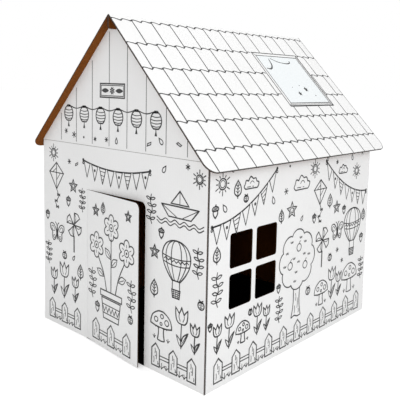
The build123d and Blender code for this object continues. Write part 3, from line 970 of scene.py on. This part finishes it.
def front_strokes():
    """The front gable's print."""
    taken = []
    edge_x = half_width - print_margin
    name_board = (-70.0, wall_height + 150, 42.0, wall_height + 190)
    strokes = plank_joints(name_board) + name_board_strokes(name_board)
    taken.append((-14, name_board[1] + 20, 70))
    strokes += lantern_string(taken)
    strokes += confetti((-270, wall_height + 12, 270, wall_height + 40), 9, taken)
    strokes += gable_bunting(taken)
    strokes += picket_fence(-edge_x, hinge_x - print_margin)
    strokes += picket_fence(jamb_x + print_margin, edge_x)
    left = (-half_width, fence_top, hinge_x, wall_height)
    strokes += arranged(left, (239, field_height), [
        (tulip, 60, 14, 92), (tulip, 118, 14, 122), (tulip, 178, 14, 86),
        (butterfly, 78, 196, 62), (pinwheel, 172, 180, 128),
        (kite, 76, 310, 150), (star, 168, 372, 44),
        (sprig, 30, 114, 80), (leaf, 206, 96, 50), (acorn, 142, 326, 32), (sun, 60, 462, 58),
        (ladybird, 120, 148, 26), (sprig, 216, 318, 76), (acorn, 24, 266, 30),
    ], taken)
    right = (jamb_x, fence_top, half_width, wall_height)
    strokes += arranged(right, (239, field_height), [
        (mushroom, 70, 14, 84), (tulip, 150, 14, 116), (tulip, 200, 14, 84),
        (air_balloon, 126, 150, 158), (star, 40, 242, 40), (boat, 136, 350, 94),
        (sprig, 207, 222, 84), (leaf, 40, 130, 52), (sun, 206, 458, 52), (acorn, 66, 304, 30),
        (ladybird, 220, 142, 26), (sprig, 24, 338, 84),
    ], taken)
    for low, bottom, high, top in (left, right):
        strokes += confetti((low + 26, bottom + 30, high - 26, top - 26), 14, taken)
    return strokes


def door_strokes():
    """The door's print."""
    taken = []
    field = (hinge_x, fence_top, jamb_x, door_height)
    strokes = picket_fence(hinge_x + print_margin, jamb_x - print_margin)
    strokes += arranged(field, (272, 393), [
        (flower_pot, 136, 14, 330), (star, 52, 318, 38), (star, 222, 330, 34),
        (sprig, 34, 60, 96), (sprig, 240, 70, 96), (ladybird, 236, 36, 26), (acorn, 62, 22, 34),
        (leaf, 92, 330, 36),
    ], taken)
    return strokes + confetti(inset(field, 24), 10, taken)


def right_strokes():
    """The window wall's print, with dark lines of painted shade along its front and rear corners."""
    taken = []
    edge_x = half_length - print_margin
    reach = 0.325 * house_length
    low, high = 0.728 * wall_height, 0.935 * wall_height
    sag = 0.05 * wall_height
    strokes = picket_fence(-edge_x, edge_x)
    # Painted shade: a black line along the front corner, beside the board's cut edge, and a fine one along
    # the rear corner.
    for x, width in ((1.7 - half_length, 3.2), (half_length - 1, 1.3)):
        strokes.append(line(width, (x, 1), (x, wall_height - 8)))
    strokes += bunting(-edge_x, -edge_x + reach, low, high, sag, taken)
    strokes += bunting(edge_x - reach, edge_x, high, low, sag, taken)
    strokes += arranged((-half_length, fence_top, window_end, window_sill), (305, 123), [
        (tulip, 46, 14, 84), (tulip, 96, 14, 100), (mushroom, 156, 14, 62), (tulip, 222, 14, 96),
        (ladybird, 188, 82, 20), (tulip, 266, 14, 78), (acorn, 16, 84, 24),
    ], taken)
    strokes += arranged((-half_length, window_sill, window_start, wall_height), (88, 407), [
        (sprig, 40, 20, 96), (leaf, 36, 136, 48), (sun, 52, 316, 64), (acorn, 26, 262, 34),
    ], taken)
    strokes += arranged((window_start, wall_height * 0.72, window_end, wall_height), (209.5, 172), [
        (leaf, 26, 66, 50), (cloud, 84, 88, 32), (ladybird, 62, 52, 22),
    ], taken)
    strokes += arranged((window_end, fence_top, half_length, wall_height), (540, field_height), [
        (tree, 112, 14, 280), (star, 72, 330, 52), (cloud, 120, 414, 42),
        (pinwheel, 250, 140, 130), (mushroom, 254, 14, 80),
        (kite, 226, 292, 140), (tulip, 318, 14, 112), (butterfly, 340, 214, 60),
        (air_balloon, 440, 144, 166), (mushroom, 434, 14, 100),
        (sprig, 24, 18, 84), (acorn, 18, 112, 28), (sun, 190, 440, 60), (acorn, 196, 296, 30),
        (leaf, 286, 330, 48), (tulip, 362, 14, 86), (acorn, 378, 298, 30), (ladybird, 300, 150, 26),
        (acorn, 506, 176, 34), (leaf, 514, 252, 44), (star, 330, 306, 44), (leaf, 20, 322, 42),
        (ladybird, 176, 66, 28), (sprig, 512, 40, 84), (sun, 452, 410, 58), (cloud, 362, 440, 28),
    ], taken)
    pane_middle, pane_pitch, reach = 52, 105, 92    # of the discs that keep the marks off the panes
    for column in (0, 1):
        x = window_start + pane_middle + pane_pitch * column
        taken += [(x, window_sill + pane_middle + pane_pitch * row, reach) for row in (0, 1)]
    return strokes + confetti(inset((-half_length, fence_top, half_length, wall_height), 26), 46, taken)


def whole_wall(half, motifs, marks, taken):
    """Drawings and strewn marks over a wall without an opening."""
    field = (-half, fence_top, half, wall_height)
    strokes = arranged(field, (2 * half, field_height), motifs, taken)
    return strokes + confetti(inset(field, 26), marks, taken)


def left_strokes():
    """The plain long wall's print."""
    strokes = picket_fence(-half_length + print_margin, half_length - print_margin)
    return strokes + whole_wall(half_length, [
        (tree, 180, 14, 330), (cloud, 420, 400, 56), (kite, 590, 230, 200), (mushroom, 400, 14, 100),
        (tulip, 700, 14, 120), (tulip, 770, 14, 100), (sun, 640, 440, 80), (sprig, 760, 150, 130),
        (butterfly, 330, 250, 80), (leaf, 420, 160, 70), (acorn, 60, 60, 50), (sprig, 40, 200, 130),
        (leaf, 300, 40, 60), (ladybird, 520, 60, 34), (star, 500, 200, 60), (sprig, 700, 300, 110),
        (cloud, 130, 430, 50), (tulip, 560, 14, 96), (acorn, 330, 430, 44), (leaf, 800, 330, 60),
    ], 44, [])


def rear_strokes():
    """The rear gable's print."""
    taken = []
    edge_x = half_width - print_margin
    strokes = plank_joints() + picket_fence(-edge_x, edge_x) + gable_bunting(taken)
    return strokes + whole_wall(half_width, [
        (tulip, 140, 14, 130), (air_balloon, 375, 110, 240), (mushroom, 600, 14, 110),
        (sprig, 50, 180, 130), (leaf, 210, 60, 70), (acorn, 290, 40, 46), (butterfly, 160, 220, 80),
        (sun, 110, 400, 90), (star, 240, 330, 54), (leaf, 520, 200, 64), (tulip, 480, 14, 100),
        (sprig, 690, 180, 130), (ladybird, 610, 190, 36), (cloud, 610, 380, 56), (acorn, 220, 180, 40),
        (tulip, 690, 14, 110), (star, 530, 330, 50),
    ], 34, taken)


# Roof print. A place on a slope is how far back it lies, and how far up from the ridge, so below 0.

tile_rows = 6
tile_width = 75.0
course_depth = 96.5
ridge_band = 14.0
tile_joint = 3.7
wave_height = 8.0
crest_end, dip_start = 0.14, 0.86       # shares of half a tile's width
sky_frame = 13.0
skylight = (550.0, -358.0, 816.0, -111.0)
sky_left, sky_bottom, sky_right, sky_top = skylight
roof_margin = 0.8                       # between the tile lines and the roof's edges


def wave_drop(u, row):
    """How far the lower edge of a row of tiles hangs down at a place, and how heavy its line is."""
    shift = 0.0 if row % 2 else tile_width / 2
    turn = 2 * (u - shift) / tile_width
    deep, before = (wave_height if int(turn // 1 - k) % 2 else wave_height * 0.75 for k in (0, 1))
    share = turn % 1.0
    if share > dip_start:
        return deep * (1 - (share - dip_start) / (2 * crest_end)), 4.8
    if share < crest_end:
        return before * (0.5 - share / (2 * crest_end)), 4.0
    fall = (share - crest_end) / (dip_start - crest_end)
    return deep * fall ** 1.5, 3.4 + 1.8 * fall ** 3


def course(start, end, row):
    """The waved lower edge of a row of tiles, drawn heavier at its dips."""
    path = []
    widths = []
    count = int((end - start) / 2.6)
    for i in range(count + 1):
        u = start + (end - start) * i / count
        drop, width = wave_drop(u, row)
        path.append((u, -(ridge_band + row * course_depth) - drop))
        widths.append(width)
    return [(path, False, widths)]


def roof_strokes(with_skylight):
    """Rows of tiles down one half of the roof, which stop at the skylight where there is one."""
    gap = 6                 # between the rows' lines and the skylight
    joint_gap = 3           # between the joints' ends and the skylight
    beside = 9              # how far beside the skylight a joint still stops at it
    shortest = 6            # of the joints that are drawn
    last = 17               # from the last joint to the roof's end, at least
    start = roof_margin
    end = roof_length - roof_margin
    strokes = []
    for row in range(tile_rows):
        depth = ridge_band + row * course_depth
        if with_skylight and -sky_top - gap < depth + wave_height and depth < -sky_bottom + gap:
            strokes += course(start, sky_left - gap, row) + course(sky_right + gap, end, row)
        else:
            strokes += course(start, end, row)
        u = tile_width * (0.5 if row % 2 else 1.0)
        while u < end - last:
            high = depth + wave_drop(u, row)[0]
            low = min(depth + course_depth + wave_drop(u, row + 1)[0], slope_length - roof_margin)
            if with_skylight and sky_left - beside < u < sky_right + beside:
                if high < -sky_top < low:
                    low = -sky_top - joint_gap
                elif high < -sky_bottom < low:
                    high = -sky_bottom + joint_gap
                elif -sky_top <= high and low <= -sky_bottom:
                    low = high
            if low - high > shortest:
                strokes.append(line(tile_joint, (u, -high), (u + 0.8, -(high + low) / 2), (u, -low)))
            u += tile_width
    return strokes + [roof_border()]


def roof_border():
    """The thin outline along the rakes and the eave, with rounded corners at the eave."""
    margin = 1.0
    radius = eave_corner_radius - margin
    foot = slope_length - margin
    path = [(margin, -1.0)]
    for i in range(13):
        turn = pi / 2 * i / 12
        path.append((margin + radius * (1 - cos(turn)), -foot + radius * (1 - sin(turn))))
    return line(2.2, *path, *[(roof_length - u, v) for u, v in path[::-1]])


def skylight_strokes():
    """The printed skylight: an outer and an inner frame, mitred corners and a heavier lower right."""
    outer = framed(3.6, skylight)
    inner = framed(3.2, inset(skylight, sky_frame))
    rim = framed(1.6, inset(skylight, 7))[0]
    corners = outer[0]
    strokes = [outer, inner, line(6.0, *corners[:2]), line(5.0, *corners[1:3])]
    strokes += [line(1.8, *ends) for ends in zip(corners, inner[0])]
    return strokes + [line(1.6, *rim[:3])]


def gleams():
    """Curved gleams and specks drawn on the skylight's glass."""
    u, v = sky_left, sky_top
    arc = curve((u + 24, v - 74), (u + 46, v - 76), (u + 66, v - 58), (u + 74, v - 26))
    long = curve((u + 84, v - 24), (u + 118, v - 40), (u + 158, v - 46), (u + 186, v - 42), (u + 192, v - 32))
    strokes = [
        (arc, False, [3 + 3.5 * sin(pi * i / (len(arc) - 1)) for i in range(len(arc))]),
        (long, False, [3 + 2 * i / len(long) for i in range(len(long))]),
    ]
    for u, v, size in ((660, -310, 15), (714, -292, 19), (690, -268, 12), (748, -316, 14), (640, -276, 10)):
        strokes += put(star() if size > 14 else small_dot(), u, v, size)
    return strokes


# The door's fold

def fold_strip():
    """The creased liner that joins the door to the gable: one strip, bent round the hinge to the door's
    present angle.
    """
    reach = 5.0
    columns = 8
    rows = 24
    low = 3.0
    vertices = []
    for row in range(rows + 1):
        z = low + (door_height - low) * row / rows
        for column in range(columns + 1):
            across = reach * (2 * column / columns - 1)
            lift = -0.25 + 0.1 * cos(pi * across / reach)
            point = Vector((hinge_x + across, front_y + lift, z))
            vertices.append((ajar @ point if across > 0 else point) / 1000)
    faces = []
    for row in range(rows):
        for column in range(columns):
            a = row * (columns + 1) + column
            faces.append((a, a + 1, a + columns + 2, a + columns + 1))
    mesh = bpy.data.meshes.new("door_fold")
    mesh.from_pydata(vertices, [], faces)
    sheet = mesh.uv_layers.new(name="sheet").data
    for face in mesh.polygons:
        for corner in face.loop_indices:
            spot = mesh.vertices[mesh.loops[corner].vertex_index].co
            sheet[corner].uv = (spot.x, spot.z)
    piece = add_object("door_fold_liner", mesh, (white,))
    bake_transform(piece)


# Stage. Its lengths are in metres.

picture_width = 400         # pixels, as high as wide
sky_level = 0.70            # what the sky gives to the object
floor_glow = 0.42           # what the floor gives off to the rays that show the background


def background_rays(tree):
    """1 for the rays that show the background: the camera's and those off metal and through glass."""
    rays = add(tree, "ShaderNodeLightPath").outputs
    passed = maths(tree, "MAXIMUM", rays["Is Glossy Ray"], rays["Is Transmission Ray"])
    return maths(tree, "MAXIMUM", rays["Is Camera Ray"], passed)


def camera():
    """The photograph's viewpoint, with its angles in radians and its optical middle in pixels."""
    place = Vector((1.386, -1.548, 0.8186))
    yaw, pitch, roll = 0.7114, 0.1074, 0.02553
    focal_pixels = 601.6
    middle = (228.0, 146.6)
    forward = Vector((-sin(yaw) * cos(pitch), cos(yaw) * cos(pitch), -sin(pitch)))
    level = Vector((cos(yaw), sin(yaw), 0))
    upward = level.cross(forward)
    right = level * cos(roll) + upward * sin(roll)
    up = -level * sin(roll) + upward * cos(roll)
    data = bpy.data.cameras.new("camera")
    data.sensor_width = 36
    data.lens = data.sensor_width * focal_pixels / picture_width
    data.shift_x = 0.5 - middle[0] / picture_width
    data.shift_y = middle[1] / picture_width - 0.5
    data.clip_start = 0.01
    data.clip_end = 100
    view = linked("camera", data)
    view.matrix_world = Matrix.Translation(place) @ Matrix((right, up, -forward)).transposed().to_4x4()
    bpy.context.scene.camera = view


def stage_sheet(name, corners, colour):
    """A flat matt sheet that belongs to the stage, with its node tree and its shader."""
    mesh = bpy.data.meshes.new(name)
    mesh.from_pydata(corners, [], [tuple(range(len(corners)))])
    material, tree, shader = new_material(name)
    feed(tree, shader, Base_Color=(*colour, 1), Roughness=1.0, Specular_IOR_Level=0.0)
    add_object(name, mesh, (material,))
    return tree, shader


def floor():
    """A pale floor that keeps the object's shadow and reads as white to the camera."""
    reach = 30
    corners = [(-reach, -reach, 0), (reach, -reach, 0), (reach, reach, 0), (-reach, reach, 0)]
    tree, shader = stage_sheet("floor", corners, (0.86, 0.86, 0.86))
    strength = times(tree, background_rays(tree), floor_glow)
    glow = add(tree, "ShaderNodeEmission", Strength=strength).outputs[0]
    total = add(tree, "ShaderNodeAddShader", i0=shader.outputs[0], i1=glow).outputs[0]
    feed(tree, tree.nodes["Material Output"], Surface=total)


def painted_interior_shade():
    """Painted shade: a near-black sheet on the ground inside the house, which the photograph shows in full
    darkness.
    """
    height = 0.0004
    x0, x1 = -half_width + board, half_width - board
    y0, y1 = front_y + board, rear_y - board
    sill = front_y + 0.4
    corners = (
        (x0, y0), (hinge_x, y0), (hinge_x, sill), (jamb_x, sill), (jamb_x, y0), (x1, y0), (x1, y1), (x0, y1),
    )
    # The sheet's near-black colour is painted shade for the dark interior.
    stage_sheet("painted_interior_shade", [(x / 1000, y / 1000, height) for x, y in corners], (0.012, 0.01, 0.009))


def lights():
    """Soft studio light: a pale sky, a large lamp on the right, one overhead and one at the camera."""
    world = bpy.data.worlds.new("studio")
    bpy.context.scene.world = world
    world.use_nodes = True
    tree = world.node_tree
    strength = plus(tree, times(tree, background_rays(tree), 1 - sky_level), sky_level)
    feed(tree, tree.nodes["Background"], Color=(1, 1, 1, 1), Strength=strength)
    target = Vector((0, 0, 0.5))
    for name, size, power, place in (
        ("softbox", 2.5, 25.0, Vector((3.4, -0.7, 2.7))),
        ("top", 1.2, 38.0, Vector((0.3, 0.0, 5.0))),
        ("fill", 0.8, 5.5, Vector((1.5, -1.9, 0.8))),
    ):
        lamp = bpy.data.lights.new(name, "AREA")
        lamp.shape = "DISK"
        lamp.size = size
        lamp.energy = power
        turn = (place - target).to_track_quat("Z", "Y").to_matrix().to_4x4()
        linked(name, lamp).matrix_world = Matrix.Translation(place) @ turn


camera()
floor()
painted_interior_shade()
lights()
for node in ("front_wall_sheet", "rear_wall_sheet", "roof_right", "roof_left", "door"):
    dressed_sheet(node, "door" if node == "door" else "house")

for name, panel, strokes in (
    ("front_print", front_plane, front_strokes()),
    ("rear_print", rear_plane, rear_strokes()),
    ("right_print", right_plane, right_strokes()),
    ("left_print", left_plane, left_strokes()),
    ("door_print", front_plane, door_strokes()),
    ("roof_right_print", right_slope, roof_strokes(True) + skylight_strokes() + gleams()),
    ("roof_left_print", left_slope, roof_strokes(False)),
):
    body, turn = ("door", ajar) if name == "door_print" else ("house", None)
    ink_piece(name + "_lines", panel, strokes, body, name, turn=turn)

glass = framed("fill", inset(skylight, sky_frame + 1.5))
ink_piece("skylight_glass", right_slope, [glass], "house", "skylight_pane", pane_tint, lift=glass_lift)
fold_strip()

bpy.context.scene.view_settings.view_transform = "Standard"
